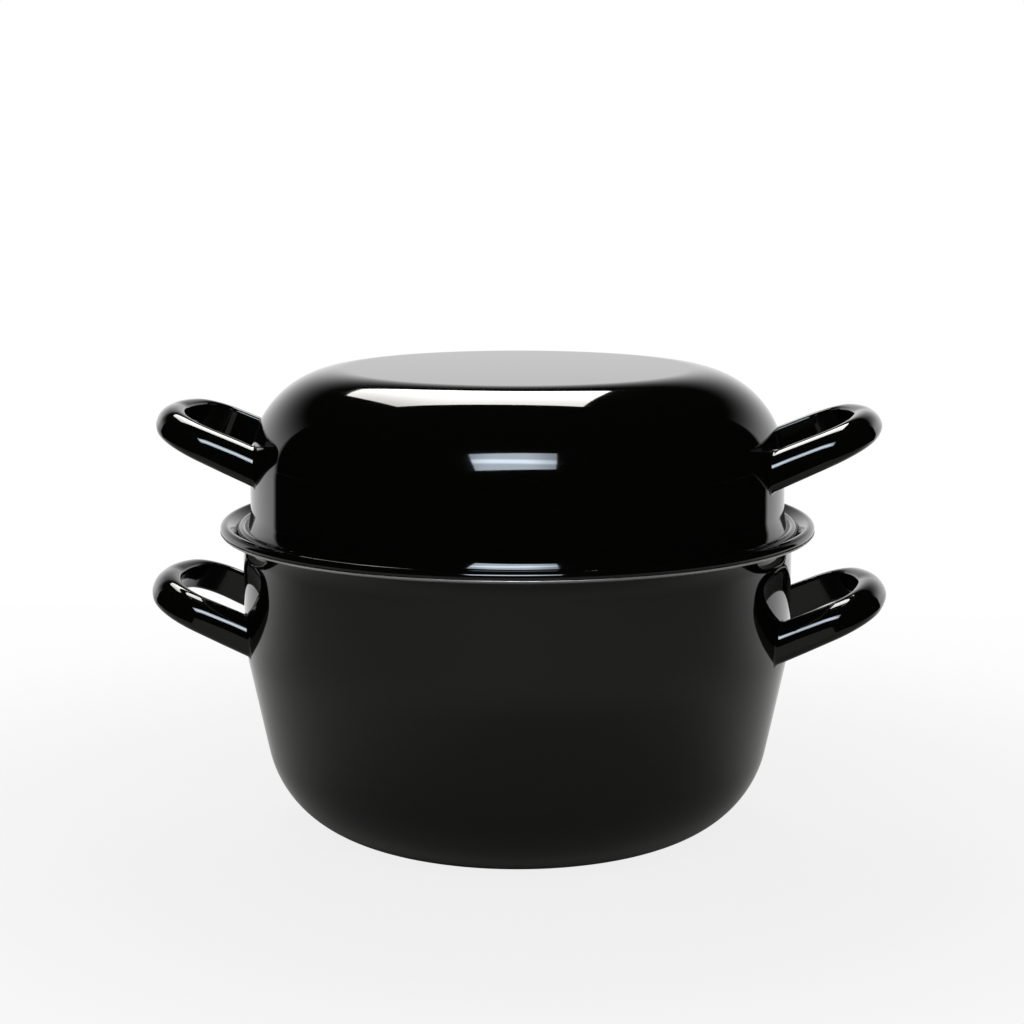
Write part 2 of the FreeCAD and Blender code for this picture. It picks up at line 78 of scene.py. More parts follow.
def add_node(tree: bpy.types.NodeTree, kind: str, inputs: dict[Any, Any] | None = None,
             **settings: Any) -> bpy.types.Node:
    """Adds one shader node with its settings and links.

    Args:
        tree: the node tree that takes it.
        kind: its type in Blender.
        inputs: values, or output sockets to link, by input name or number.
        settings: properties of the node itself.

    Returns:
        The new node.
    """
    node = tree.nodes.new(kind)
    for name, value in settings.items():
        setattr(node, name, value)
    for name, value in (inputs or {}).items():
        if isinstance(value, bpy.types.NodeSocket):
            tree.links.new(value, node.inputs[name])
        else:
            node.inputs[name].default_value = value
    return node


def blank_material(name: str) -> tuple[bpy.types.Material, bpy.types.NodeTree]:
    """Makes a material with an empty node tree.

    Args:
        name: what the finish is called.

    Returns:
        The material and its tree.
    """
    material = bpy.data.materials.new(name)
    material.use_nodes = True
    material.node_tree.nodes.clear()
    return material, material.node_tree


def only(piece: bpy.types.Object) -> None:
    """Selects one piece alone, in object mode, and makes it the active one."""
    if bpy.context.mode != "OBJECT":
        bpy.ops.object.mode_set(mode="OBJECT")
    bpy.ops.object.select_all(action="DESELECT")
    piece.select_set(True)
    bpy.context.view_layer.objects.active = piece


def dress(piece: bpy.types.Object, material: bpy.types.Material, slot: str, *nodes: str) -> None:
    """Gives a finished piece its finish and lets it stand for its CAD nodes.

    Args:
        piece: the finished piece.
        material: its finish.
        slot: the slot that the finish fills; not used.
        nodes: the CAD nodes that it stands for.
    """
    piece.data.materials.clear()
    piece.data.materials.append(material)
    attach(piece, "root")
    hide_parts(*nodes)
    LOG.info("%s: %d faces", piece.name, len(piece.data.polygons))


class Outline:
    """A line drawn from point to point in the XZ plane, as the start of a turned or swept piece."""

    def __init__(self, name: str, x: float, z: float) -> None:
        """Puts the first point down.

        Args:
            name: the piece's name.
            x: its distance from the axis, in millimetres.
            z: its height.
        """
        bpy.ops.object.select_all(action="DESELECT")
        bpy.ops.mesh.primitive_plane_add(size=MM, location=(0, 0, 0))
        self.piece = bpy.context.object
        self.piece.name = name
        bpy.ops.object.mode_set(mode="EDIT")
        bpy.context.tool_settings.mesh_select_mode = (True, False, False)
        bpy.ops.mesh.select_all(action="SELECT")
        bpy.ops.mesh.merge(type="CENTER")
        bpy.ops.transform.translate(value=(x * MM, 0, z * MM))
        self.x = x
        self.z = z

    def step(self, x: float, z: float) -> None:
        """Extrudes the last point to the next one."""
        move = ((x - self.x) * MM, 0, (z - self.z) * MM)
        bpy.ops.mesh.extrude_region_move(TRANSFORM_OT_translate={"value": move})
        self.x, self.z = x, z

    def line(self, x: float, z: float, parts: int = 4, margin: float = 0.12) -> "Outline":
        """Draws a straight run, with a point close to each end so that it shades flat.

        Args:
            x: distance of its far end from the axis.
            z: height of its far end.
            parts: how many stretches lie between the two close points.
            margin: how far those points lie from the ends.

        Returns:
            The outline itself.
        """
        start = (self.x, self.z)
        length = math.hypot(x - start[0], z - start[1])
        near = margin / length if length > 4 * margin else 0.0
        shares = [near + (1 - 2 * near) * i / parts for i in range(parts + 1)] + [1.0]
        for share in shares:
            if share > 1e-9 and (share < 1.0 or share == shares[-1]):
                self.step(start[0] + (x - start[0]) * share, start[1] + (z - start[1]) * share)
        return self

    def arc(self, x: float, z: float, turn: float, pitch: float = 2.0) -> "Outline":
        """Draws an arc by spinning the last point.

        Args:
            x: distance of its centre from the axis.
            z: height of its centre.
            turn: the angle it runs through, anticlockwise as seen from the front, in degrees.
            pitch: the angle from point to point.

        Returns:
            The outline itself.
        """
        steps = max(3, round(abs(turn) / pitch))
        bpy.ops.mesh.spin(steps=steps, angle=math.radians(turn), center=(x * MM, 0, z * MM), axis=(0, 1, 0))
        angle = math.radians(turn)
        dx, dz = self.x - x, self.z - z
        self.x = x + dx * math.cos(angle) - dz * math.sin(angle)
        self.z = z + dx * math.sin(angle) + dz * math.cos(angle)
        return self

    def join_ends(self) -> None:
        """Merges the last point with the first."""
        bpy.ops.mesh.select_all(action="SELECT")
        bpy.ops.mesh.remove_doubles(threshold=0.004 * MM)

    def turned(self, steps: int = 256) -> bpy.types.Object:
        """Spins the outline round the upright axis into a closed piece.

        Args:
            steps: how many faces go round.

        Returns:
            The piece, in object mode, with its normals outwards.
        """
        bpy.ops.mesh.select_all(action="SELECT")
        bpy.ops.mesh.spin(steps=steps, angle=2 * math.pi, center=(0, 0, 0), axis=(0, 0, 1))
        return finish_mesh(self.piece)


def finish_mesh(piece: bpy.types.Object, sharp: float = 35.0) -> bpy.types.Object:
    """Closes the seams and poles of a piece, turns its faces outwards and shades it smooth.

    Args:
        piece: the piece, in edit or object mode.
        sharp: edges that turn by more than this stay sharp, in degrees.

    Returns:
        The same piece, in object mode.
    """
    only(piece)
    bpy.ops.object.mode_set(mode="EDIT")
    bpy.ops.mesh.select_all(action="SELECT")
    bpy.ops.mesh.remove_doubles(threshold=0.004 * MM)
    bpy.ops.mesh.normals_make_consistent(inside=False)
    bpy.ops.object.mode_set(mode="OBJECT")
    bpy.ops.object.shade_smooth_by_angle(angle=math.radians(sharp))
    return piece


# Finishes


@dataclass(frozen=True)
class VitreousEnamel:
    """Glass enamel, dipped and fired on pressed steel: a black mirror with a slight waviness."""

    name: str = "black_vitreous_enamel"
    colour: str = "#060605"
    speck: str = "#10100f"
    ior: float = 1.52
    gloss: float = 0.035
    wave_mm: float = 11.0
    wave_depth_mm: float = 0.006
    grain_mm: float = 0.5
    film_mm: float = 38.0

    def make(self) -> bpy.types.Material:
        """Builds the node material."""
        material, tree = blank_material(self.name)
        place = add_node(tree, "ShaderNodeTexCoord").outputs["Object"]
        # Orange peel: the glass pulls itself level while it melts, and keeps waves about a centimetre long
        waves = add_node(tree, "ShaderNodeTexNoise", {"Vector": place, "Scale": 1 / (self.wave_mm * MM),
                                                      "Detail": 1.0, "Roughness": 0.3})
        peel = add_node(tree, "ShaderNodeBump", {"Height": waves.outputs["Fac"], "Strength": 1.0,
                                                 "Distance": self.wave_depth_mm * MM})
        # Fine specks of colour frit that did not melt through, and the film of handling on the gloss
        grain = add_node(tree, "ShaderNodeTexNoise", {"Vector": place, "Scale": 1 / (self.grain_mm * MM),
                                                      "Detail": 2.0, "Roughness": 0.6})
        tint = add_node(tree, "ShaderNodeValToRGB", {"Fac": grain.outputs["Fac"]})
        tint.color_ramp.elements[0].position = 0.45
        tint.color_ramp.elements[0].color = srgb(self.colour)
        tint.color_ramp.elements[1].position = 0.85
        tint.color_ramp.elements[1].color = srgb(self.speck)
        film = add_node(tree, "ShaderNodeTexNoise", {"Vector": place, "Scale": 1 / (self.film_mm * MM),
                                                     "Detail": 3.0, "Roughness": 0.55})
        rough = add_node(tree, "ShaderNodeMapRange", {"Value": film.outputs["Fac"], "From Min": 0.3,
                                                      "From Max": 0.75, "To Min": self.gloss,
                                                      "To Max": self.gloss + 0.03})
        skin = add_node(tree, "ShaderNodeBsdfPrincipled", {
            "Base Color": tint.outputs["Color"], "Roughness": rough.outputs["Result"], "IOR": self.ior,
            "Normal": peel.outputs["Normal"]})
        add_node(tree, "ShaderNodeOutputMaterial", {"Surface": skin.outputs["BSDF"]})
        return material


@dataclass(frozen=True)
class BrightSteel:
    """Stainless steel strip, rolled and polished along its length: bright, with hair lines round the rim."""

    name: str = "polished_stainless_steel"
    colour: str = "#e2e1dd"
    shade: str = "#cbcac6"
    roughness: float = 0.34
    line_mm: float = 0.12
    line_length_mm: float = 16.7
    groove_mm: float = 0.004

    def make(self) -> bpy.types.Material:
        """Builds the node material."""
        material, tree = blank_material(self.name)
        place = add_node(tree, "ShaderNodeTexCoord").outputs["Object"]
        # Hair lines of the polishing belt run round the rim, so they are fine up and down only
        along, across = 1 / (self.line_length_mm * MM), 1 / (self.line_mm * MM)
        drawn = add_node(tree, "ShaderNodeMapping", {"Vector": place, "Scale": (along, along, across)})
        lines = add_node(tree, "ShaderNodeTexNoise", {"Vector": drawn.outputs["Vector"], "Scale": 1.0,
                                                      "Detail": 2.0, "Roughness": 0.6})
        tint = add_node(tree, "ShaderNodeValToRGB", {"Fac": lines.outputs["Fac"]})
        tint.color_ramp.elements[0].position = 0.3
        tint.color_ramp.elements[0].color = srgb(self.shade)
        tint.color_ramp.elements[1].position = 0.7
        tint.color_ramp.elements[1].color = srgb(self.colour)
        rough = add_node(tree, "ShaderNodeMapRange", {"Value": lines.outputs["Fac"], "To Min": self.roughness,
                                                      "To Max": self.roughness + 0.12})
        groove = add_node(tree, "ShaderNodeBump", {"Height": lines.outputs["Fac"], "Strength": 0.5,
                                                   "Distance": self.groove_mm * MM})
        skin = add_node(tree, "ShaderNodeBsdfPrincipled", {
            "Base Color": tint.outputs["Color"], "Metallic": 1.0, "Roughness": rough.outputs["Result"],
            "Normal": groove.outputs["Normal"]})
        add_node(tree, "ShaderNodeOutputMaterial", {"Surface": skin.outputs["BSDF"]})
        return material


# The pot and the lid


@dataclass
class Pot:
    """The drawn bowl with its trumpet flare, its rolled bead and the bright trim under the bead."""

    neck: float = 121.2
    gauge: float = 1.2
    neck_height: float = 125.6
    waist: float = 92.3
    blend: float = 75.0
    taper: float = 12.0
    corner: float = 47.0
    flare: float = 14.2
    flare_turn: float = 59.0
    roll: float = 2.35
    roll_end: float = 51.0
    trim_gap: float = 0.1
    trim_gauge: float = 0.4
    trim_start: float = 32.0
    handle_height: float = 89.5

    def bead(self) -> tuple[float, float]:
        """The centre of the rolled bead."""
        arm = self.flare + self.gauge - self.roll
        turn = math.radians(self.flare_turn)
        return self.neck + self.flare - arm * math.cos(turn), self.neck_height + arm * math.sin(turn)

    def build_body(self) -> bpy.types.Object:
        """Draws the half section up the outside, round the roll and down the inside, and spins it."""
        lean = math.radians(self.taper)
        hub = (self.neck + self.flare, self.neck_height)
        bead = self.bead()
        belly = self.neck - self.blend
        upper = (belly + self.blend * math.cos(lean), self.waist - self.blend * math.sin(lean))
        low_z = self.corner * (1 - math.sin(lean))
        low = (upper[0] - (upper[1] - low_z) * math.tan(lean), low_z)
        flat = low[0] - self.corner * math.cos(lean)
        shift = (self.gauge * math.cos(lean), self.gauge * math.sin(lean))
        swing = 180 - self.flare_turn + 180 - self.roll_end
        lip = math.radians(self.roll_end - 180)
        middle = self.roll - self.gauge / 2
        edge = (bead[0] + middle * math.cos(lip), bead[1] + middle * math.sin(lip))
        line = Outline("enamelled_pot", 0, 0)
        line.line(flat, 0, parts=8)
        line.arc(flat, self.corner, 90 - self.taper)
        line.line(*upper, parts=6)
        line.arc(belly, self.waist, self.taper, pitch=1.5)
        line.line(self.neck, self.neck_height, parts=5)
        line.arc(*hub, -self.flare_turn, pitch=2.5)
        line.arc(*bead, -swing, pitch=10)
        line.arc(*edge, 180, pitch=22)
        line.arc(*bead, swing, pitch=5)
        line.arc(*hub, self.flare_turn, pitch=2.5)
        line.line(self.neck - self.gauge, self.waist, parts=5)
        line.arc(belly, self.waist, -self.taper, pitch=1.5)
        line.line(low[0] - shift[0], low[1] + shift[1], parts=6)
        line.arc(flat, self.corner, self.taper - 90)
        line.line(0, self.gauge, parts=8)
        return line.turned()

    def build_trim(self) -> bpy.types.Object:
        """Draws the crescent of the trim with rounded edges, and spins it."""
        bead = self.bead()
        near = self.roll + self.trim_gap
        middle = near + self.trim_gauge / 2
        first, last = self.roll_end - 180, -self.trim_start
        start, stop = math.radians(first), math.radians(last)
        line = Outline("rim_trim", bead[0] + near * math.cos(start), bead[1] + near * math.sin(start))
        line.arc(*bead, last - first, pitch=6)
        line.arc(bead[0] + middle * math.cos(stop), bead[1] + middle * math.sin(stop), -180, pitch=30)
        line.arc(*bead, first - last, pitch=6)
        line.arc(bead[0] + middle * math.cos(start), bead[1] + middle * math.sin(start), -180, pitch=30)
        line.join_ends()
        return line.turned()


@dataclass
class Lid:
    """The drawn dome with its flat top and the rolled bead that rests in the pot's flare."""

    wall: float = 117.7
    gauge: float = 1.2
    height: float = 71.8
    crown: float = 42.0
    flare: float = 14.0
    flare_turn: float = 40.1
    roll: float = 2.0
    roll_end: float = 38.0
    lift: float = 134.278
    handle_height: float = 29.7

    def build_body(self) -> bpy.types.Object:
        """Draws the half section over the top, round the roll and back under it, and spins it."""
        arm = self.flare + self.gauge - self.roll
        turn = math.radians(self.flare_turn)
        foot = self.lift + self.roll + arm * math.sin(turn)
        hub = (self.wall + self.flare, foot)
        bead = (hub[0] - arm * math.cos(turn), self.lift + self.roll)
        flat = self.wall - self.crown
        top = self.lift + self.height
        swing = 180 - self.flare_turn + 180 - self.roll_end
        lip = math.radians(180 - self.roll_end)
        middle = self.roll - self.gauge / 2
        line = Outline("enamelled_lid", 0, top)
        line.line(flat, top, parts=8)
        line.arc(flat, top - self.crown, -90)
        line.line(self.wall, foot)
        line.arc(*hub, self.flare_turn, pitch=2.5)
        line.arc(*bead, swing, pitch=12)
        line.arc(bead[0] + middle * math.cos(lip), bead[1] + middle * math.sin(lip), -180, pitch=22)
        line.arc(*bead, -swing, pitch=5)
        line.arc(*hub, -self.flare_turn, pitch=2.5)
        line.line(self.wall - self.gauge, top - self.crown)
        line.arc(flat, top - self.crown, 90)
        line.line(0, top - self.gauge, parts=8)
        return line.turned()


# The loop handles


@dataclass
class LoopHandle:
    """A pressed loop, flat round the finger hole and well rounded outside, welded to the wall."""

    name: str
    wall: float
    height: float
    span: float = 37.2
    reach: float = 40.0
    bow: float = 72.0
    corner: float = 20.0
    tilt: float = 24.5
    run: float = 18.0
    inside: float = 4.0
    outside: float = 6.0
    bar_above: float = 9.2
    bar_below: float = 2.5
    leg_above: float = 13.0
    leg_below: float = 3.4
    crown_round: float = 7.8
    belly_round: float = 3.5
    edge_round: float = 1.5
    weld: float = 1.3
    weld_sink: float = 0.25
    weld_turns: tuple[int, ...] = (0, 18, 36, 54, 72, 90)
    clear: float = 3.0
    probe: float = 5.0
    pitch: float = 3.0
    leg_parts: int = 24

    def draw_section(self) -> Outline:
        """Draws the bar's closed section at the middle of the loop."""
        left, right = self.reach - self.inside, self.reach + self.outside
        high, low = self.bar_above, -self.bar_below
        edge, crown, belly = self.edge_round, self.crown_round, self.belly_round
        line = Outline(self.name, left, low + edge)
        line.line(left, high - edge, parts=3)
        line.arc(left + edge, high - edge, -90, pitch=11)
        line.line(right - crown, high, parts=1, margin=0.05)
        line.arc(right - crown, high - crown, -90, pitch=6)
        line.line(right, low + belly, parts=1, margin=0.05)
        line.arc(right - belly, low + belly, -90, pitch=9)
        line.line(left + edge, low, parts=2)
        line.arc(left + edge, low + edge, -90, pitch=11)
        line.join_ends()
        return line

    def grow(self, mesh: bmesh.types.BMesh, up: float, down: float) -> None:
        """Raises the upper rounding and lowers the lower one of the ring that was just swept.

        Args:
            mesh: the mesh in edit mode, with the new ring selected.
            up: the rise of the upper part, in millimetres.
            down: the drop of the lower part.
        """
        split = (self.bar_above - self.crown_round + self.belly_round - self.bar_below) / 2 * MM
        ring = [v for v in mesh.verts if v.select]
        upper = [v for v in ring if v.co.z > split]
        lower = [v for v in ring if v.co.z <= split]
        for part, move in ((upper, up), (lower, -down)):
            for v in ring:
                v.select_set(False)
            for v in part:
                v.select_set(True)
            bpy.ops.transform.translate(value=(0, 0, move * MM))
        for v in ring:
            v.select_set(True)

    def sweep(self) -> bpy.types.Object:
        """Sweeps the section along half of the loop, growing on its way, and mirrors it."""
        piece = self.draw_section().piece
        corner_y = self.span - self.corner
        corner_x = self.reach - self.bow + math.sqrt((self.bow - self.corner) ** 2 - corner_y ** 2)
        meet = math.atan2(corner_y, corner_x - self.reach + self.bow)
        bend = math.pi / 2 - meet
        leg = corner_x + self.run
        total = self.bow * meet + self.corner * bend + leg
        rise = (self.leg_above - self.bar_above) / total
        drop = (self.leg_below - self.bar_below) / total
        lengths = []
        for radius, angle, x, y in ((self.bow, meet, self.reach - self.bow, 0.0),
                                    (self.corner, bend, corner_x, corner_y)):
            steps = max(4, round(math.degrees(angle) / self.pitch))
            lengths += [(radius * angle / steps, angle / steps, x, y)] * steps
        lengths += [(leg / self.leg_parts, 0.0, 0.0, 0.0)] * self.leg_parts
        bpy.ops.mesh.select_all(action="SELECT")
        for length, angle, x, y in lengths:
            if angle:
                bpy.ops.mesh.spin(steps=1, angle=-angle, center=(x * MM, y * MM, 0), axis=(0, 0, 1))
            else:
                bpy.ops.mesh.extrude_region_move(TRANSFORM_OT_translate={"value": (-length * MM, 0, 0)})
            self.grow(bmesh.from_edit_mesh(piece.data), rise * length, drop * length)
        bpy.ops.object.mode_set(mode="OBJECT")
        mirror = piece.modifiers.new("other_half", "MIRROR")
        mirror.use_axis = (False, True, False)
        mirror.merge_threshold = 0.01 * MM
        bpy.ops.object.modifier_apply(modifier=mirror.name)
        return piece

    def place(self, piece: bpy.types.Object) -> None:
        """Tilts the loop up outwards and moves it to its wall."""
        piece.rotation_euler = (0, -math.radians(self.tilt), 0)
        piece.location = (self.wall * MM, 0, self.height * MM)
        only(piece)
        bpy.ops.object.transform_apply(location=True, rotation=True, scale=True)

    def weld_to(self, piece: bpy.types.Object, body: bpy.types.Object) -> None:
        """Trims the legs to the curved wall and flows a small hollow weld round them.

        Args:
            piece: the placed loop, its legs running on through the wall.
            body: the turned piece that carries it.
        """
        tilt = math.radians(self.tilt)
        inwards = Vector((-math.cos(tilt), 0, -math.sin(tilt)))
        only(piece)
        bpy.ops.object.mode_set(mode="EDIT")
        mesh = bmesh.from_edit_mesh(piece.data)
        start = Vector((self.wall * MM, 0, self.height * MM))
        for v in mesh.verts:
            v.select_set(False)
        # The rings that lie further in than the wall are taken off, down to the last one clear of it
        gone = [v for v in mesh.verts if (v.co - start).dot(-inwards) < self.clear * MM]
        bmesh.ops.delete(mesh, geom=gone, context="VERTS")
        rim = [v for v in mesh.verts if any(e.is_boundary for e in v.link_edges)]
        for e in mesh.edges:
            if e.is_boundary:
                e.select_set(True)
        bmesh.update_edit_mesh(piece.data)
        mesh.normal_update()
        outs = [(v.normal - inwards * v.normal.dot(inwards)).normalized() for v in rim]
        bases = [v.co.copy() for v in rim]
        rings = [self.weld_ring(body, bases, outs, inwards, turn) for turn in self.weld_turns]
        for places in rings:
            bpy.ops.mesh.extrude_region_move(TRANSFORM_OT_translate={"value": (0, 0, 0)})
            mesh = bmesh.from_edit_mesh(piece.data)
            # The new ring lies on the last one, so its points are matched to it by their place
            fresh = {tuple(round(c, 6) for c in v.co): v for v in mesh.verts if v.select}
            ordered = [fresh[tuple(round(c, 6) for c in base)] for base in bases]
            for v, spot in zip(ordered, places):
                v.co = spot
            bmesh.update_edit_mesh(piece.data)
            bases = [v.co.copy() for v in ordered]
        bpy.ops.object.mode_set(mode="OBJECT")

    def weld_ring(self, body: bpy.types.Object, bases: list[Vector], outs: list[Vector],
                  inwards: Vector, turn: int) -> list[Vector]:
        """Places one ring of the hollow weld, between the leg and the wall.

        Args:
            body: the turned piece that carries the handle.
            bases: the points of the leg's end.
            outs: which way the leg's skin faces at each of them.
            inwards: the direction of the leg, towards the wall.
            turn: how far round the hollow the ring lies, from 0 on the leg to 90 in the wall.

        Returns:
            A place for each point.
        """
        share = math.radians(turn)
        out = self.weld * (1 - math.cos(share)) * MM
        sink = self.weld_sink if turn == self.weld_turns[-1] else 0.0
        off = (self.weld * (1 - math.sin(share)) - sink) * MM
        places = []
        for base, side in zip(bases, outs):
            from_outside = base + side * out - inwards * self.probe * MM
            hit, spot, _normal, _index = body.ray_cast(from_outside, inwards)
            places.append((spot if hit else base) - inwards * off)
        return places

    def build(self, body: bpy.types.Object) -> bpy.types.Object:
        """Builds the handle on the right side.

        Args:
            body: the turned piece that carries it.

        Returns:
            The finished right-hand handle.
        """
        piece = self.sweep()
        self.place(piece)
        self.weld_to(piece, body)
        return finish_mesh(piece, 50.0)

    def mirrored(self, piece: bpy.types.Object, name: str) -> bpy.types.Object:
        """Copies the handle, with its own mesh, to the left side.

        Args:
            piece: the finished right-hand handle.
            name: the copy's name.

        Returns:
            The left-hand handle.
        """
        only(piece)
        bpy.ops.object.duplicate()
        copy = bpy.context.object
        copy.name = name
        copy.scale = (Side.LEFT.value, 1, 1)
        bpy.ops.object.transform_apply(location=True, rotation=True, scale=True)
        return finish_mesh(copy, 50.0)


# The studio


@dataclass
class Studio:
    """A pale paper floor and background, soft boxes overhead and in front, and dark cloth all round.

    The gloss of the enamel shows the room, so the room is laid out as a studio is: white paper that runs
    back under the pot, a soft box over it, one over the camera, and dark cloth beside and above.
    """

    paper_colour: str = "#a9a9a6"
    paper_size: float = 14.0
    paper_radius: float = 0.74
    cloth_colour: str = "#0c0c0c"
    cloth_edge: float = 0.03
    cloth_lift: float = 0.003
    ambient: float = 0.34
    room_radius: float = 3.0
    wall: float = 0.115
    opening: float = 53.5
    opening_turn: float = -8.0
    overhead_height: float = 1.0
    overhead_corners: tuple[tuple[float, float], ...] = (
        (-0.504, 1.182), (-0.620, 0.896), (-0.427, 0.297), (0.187, 0.246), (0.145, 1.034))
    front_distance: float = -1.3
    front_corners: tuple[tuple[float, float], ...] = (
        (-0.466, 1.402), (0.565, 1.500), (0.480, 0.847), (-0.310, 0.776))
    tube_height: float = 1.09
    lamp_watts: float = 7.0
    camera_place: tuple[float, float, float] = (0.0720, -1.0300, 0.3102)
    camera_pitch: float = math.pi / 2 - 0.162
    camera_turn: float = 0.0698
    lens_mm: float = 82.82
    lens_shift: float = -0.0053

    def seen(self, tree: bpy.types.NodeTree, path: bpy.types.Node) -> bpy.types.NodeSocket:
        """Tells the rays that look at something from those that light it.

        Args:
            tree: the node tree.
            path: its Light Path node.

        Returns:
            1 for camera, glossy and transmission rays, otherwise 0.
        """
        looks = {0: path.outputs["Is Camera Ray"], 1: path.outputs["Is Glossy Ray"]}
        either = add_node(tree, "ShaderNodeMath", looks, operation="MAXIMUM")
        through = {0: either.outputs[0], 1: path.outputs["Is Transmission Ray"]}
        return add_node(tree, "ShaderNodeMath", through, operation="MAXIMUM").outputs[0]

    def set_world(self) -> None:
        """Lights the room evenly and lets the background show white, in reflections too."""
        world = bpy.data.worlds.new("pale_studio")
        world.use_nodes = True
        bpy.context.scene.world = world
        tree = world.node_tree
        tree.nodes.clear()
        path = add_node(tree, "ShaderNodeLightPath")
        level = add_node(tree, "ShaderNodeMapRange", {
            "Value": self.seen(tree, path), "To Min": self.ambient, "To Max": 1.0})
        light = add_node(tree, "ShaderNodeBackground", {
            "Color": (1, 1, 1, 1), "Strength": level.outputs["Result"]})
        add_node(tree, "ShaderNodeOutputWorld", {"Surface": light.outputs["Background"]})

    def white_paper(self) -> bpy.types.Material:
        """Matt white background paper, which burns out to white behind the pot."""
        material, tree = blank_material("matt_white_paper")
        place = add_node(tree, "ShaderNodeTexCoord").outputs["Object"]
        fibre = add_node(tree, "ShaderNodeTexNoise", {"Vector": place, "Scale": 900.0, "Detail": 2.0})
        press = add_node(tree, "ShaderNodeBump", {
            "Height": fibre.outputs["Fac"], "Strength": 0.15, "Distance": 0.02 * MM})
        paper = add_node(tree, "ShaderNodeBsdfPrincipled", {
            "Base Color": srgb(self.paper_colour), "Roughness": 0.9, "Specular IOR Level": 0.1,
            "Normal": press.outputs["Normal"]})
        glow = add_node(tree, "ShaderNodeEmission", {"Color": (1, 1, 1, 1), "Strength": 1.0})
        path = add_node(tree, "ShaderNodeLightPath")
        apart = add_node(tree, "ShaderNodeSeparateXYZ", {"Vector": place})
        # Behind the pot the paper is white for every ray that looks at it
        back = add_node(tree, "ShaderNodeMapRange", {
            "Value": apart.outputs["Y"], "From Min": -0.10, "From Max": 0.50, "To Min": 0.0, "To Max": 1.0},
            interpolation_type="SMOOTHSTEP")
        # In front it is nearly white for the camera alone, and least so under the pot, where its shadow lies
        distance = add_node(tree, "ShaderNodeVectorMath", {0: place}, operation="LENGTH")
        near = add_node(tree, "ShaderNodeMapRange", {
            "Value": distance.outputs["Value"], "From Min": 0.15, "From Max": 0.5, "To Min": 0.84,
            "To Max": 0.985}, interpolation_type="SMOOTHSTEP")
        far = add_node(tree, "ShaderNodeMath", {
            0: near.outputs["Result"], 1: back.outputs["Result"]}, operation="MAXIMUM")
        shown = add_node(tree, "ShaderNodeMath", {
            0: path.outputs["Is Camera Ray"], 1: far.outputs[0]}, operation="MULTIPLY")
        mirrored = add_node(tree, "ShaderNodeMath", {
            0: self.seen(tree, path), 1: back.outputs["Result"]}, operation="MULTIPLY")
        share = add_node(tree, "ShaderNodeMath", {
            0: shown.outputs[0], 1: mirrored.outputs[0]}, operation="MAXIMUM")
        mix = add_node(tree, "ShaderNodeMixShader", {
            0: share.outputs[0], 1: paper.outputs["BSDF"], 2: glow.outputs["Emission"]})
        add_node(tree, "ShaderNodeOutputMaterial", {"Surface": mix.outputs["Shader"]})
        return material

    def build_floor(self) -> None:
        """Lays the paper, which keeps the pot's soft shadow."""
        bpy.ops.object.select_all(action="DESELECT")
        bpy.ops.mesh.primitive_plane_add(size=self.paper_size, location=(0, 0, 0))
        floor = bpy.context.object
        floor.name = "paper_floor"
        floor.data.materials.append(self.white_paper())

    def only_for_gloss(self, piece: bpy.types.Object, material: bpy.types.Material) -> None:
        """Makes a piece of the studio that only reflections show, so that it lights and hides nothing."""
        piece.data.materials.append(material)
        piece.visible_camera = False
        piece.visible_diffuse = False
        piece.visible_shadow = False

    def dark_cloth(self, name: str, on_floor: bool) -> bpy.types.Material:
        """Black felt that hangs beside and over the pot, or lies round the white paper.

        Behind the pot it leaves the paper and the pale background free, and thickens upwards.

        Args:
            name: the material's name.
            on_floor: whether the cloth lies on the floor.

        Returns:
            The material.
        """
        material, tree = blank_material(name)
        place = add_node(tree, "ShaderNodeTexCoord").outputs["Object"]
        apart = add_node(tree, "ShaderNodeSeparateXYZ", {"Vector": place})
        # The opening spreads to both sides from the walls of the pot, and is turned a little to the left
        reach = add_node(tree, "ShaderNodeMath", {0: apart.outputs["X"]}, operation="ABSOLUTE")
        wall = add_node(tree, "ShaderNodeMath", {0: reach.outputs[0], 1: self.wall}, operation="SUBTRACT")
        past = add_node(tree, "ShaderNodeMath", {0: wall.outputs[0], 1: 0.001}, operation="MAXIMUM")
        angle = add_node(tree, "ShaderNodeMath", {
            0: past.outputs[0], 1: apart.outputs["Y"]}, operation="ARCTAN2")
        side = add_node(tree, "ShaderNodeMath", {0: apart.outputs["X"]}, operation="SIGN")
        swing = add_node(tree, "ShaderNodeMath", {
            0: side.outputs[0], 1: math.radians(self.opening_turn)}, operation="MULTIPLY")
        aside = add_node(tree, "ShaderNodeMath", {
            0: angle.outputs[0], 1: swing.outputs[0]}, operation="SUBTRACT")
        limit = math.radians(self.opening)
        beside = add_node(tree, "ShaderNodeMapRange", {
            "Value": aside.outputs[0], "From Min": limit - self.cloth_edge,
            "From Max": limit + self.cloth_edge, "To Min": 0.0, "To Max": 1.0})
        if on_floor:
            away = add_node(tree, "ShaderNodeVectorMath", {0: place}, operation="LENGTH")
            beyond = add_node(tree, "ShaderNodeMapRange", {
                "Value": away.outputs["Value"], "From Min": self.paper_radius,
                "From Max": self.paper_radius + self.cloth_edge, "To Min": 0.0, "To Max": 1.0})
            cover = add_node(tree, "ShaderNodeMath", {
                0: beside.outputs["Result"], 1: beyond.outputs["Result"]}, operation="MULTIPLY")
        else:
            high = add_node(tree, "ShaderNodeMapRange", {
                "Value": apart.outputs["Z"], "From Min": 0.35, "From Max": 1.65, "To Min": 0.0,
                "To Max": 1.0}, interpolation_type="SMOOTHSTEP")
            cover = add_node(tree, "ShaderNodeMath", {
                0: beside.outputs["Result"], 1: high.outputs["Result"]}, operation="MAXIMUM")
